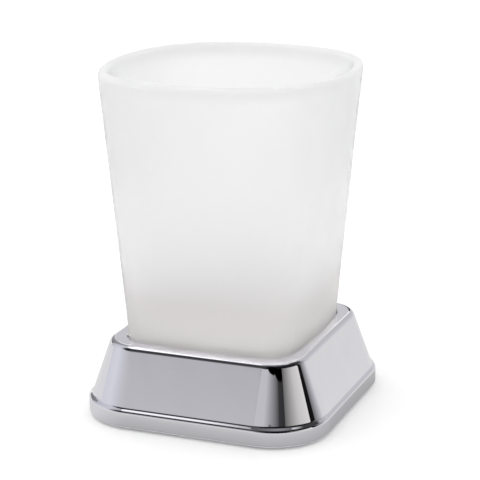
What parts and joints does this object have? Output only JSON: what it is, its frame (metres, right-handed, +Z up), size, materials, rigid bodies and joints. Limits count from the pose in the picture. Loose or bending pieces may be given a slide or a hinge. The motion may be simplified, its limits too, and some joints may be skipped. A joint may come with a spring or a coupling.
{
  "type": "bathroom tumbler",
  "caption": "Frosted glass tumbler, square at the foot and soft-round at the mouth, that lifts out of a tapered chromed base with a lined socket.",
  "frame": {"origin": "centre of the base on the surface that the feet stand on", "axes": "+Z up along the axis of the glass, -Y towards the front face of the base, +X to the right"},
  "size_m": [0.076, 0.076, 0.1039],
  "materials": {
    "frosted_glass": "acid-etched, matt inside and out",
    "chrome": "mirror-polished plating",
    "liner_plastic": "fine moulded matt",
    "plate_plastic": "spark-eroded moulded texture",
    "screw_steel": "zinc-plated",
    "foot_rubber": "soft matt"
  },
  "bodies": {
    "base": {"base_housing": "chrome", "socket_liner": "liner_plastic", "bottom_plate": "plate_plastic", "plate_screws": "screw_steel", "foot_front_left": "foot_rubber", "foot_front_right": "foot_rubber", "foot_back_left": "foot_rubber", "foot_back_right": "foot_rubber"},
    "tumbler": {"glass_tumbler": "frosted_glass"}
  },
  "joints": [
    {"name": "tumbler_lift", "type": "slide", "parent": "base", "child": "tumbler", "axis": [0, 0, 1], "range_m": [0, 0.04]}
  ]
}
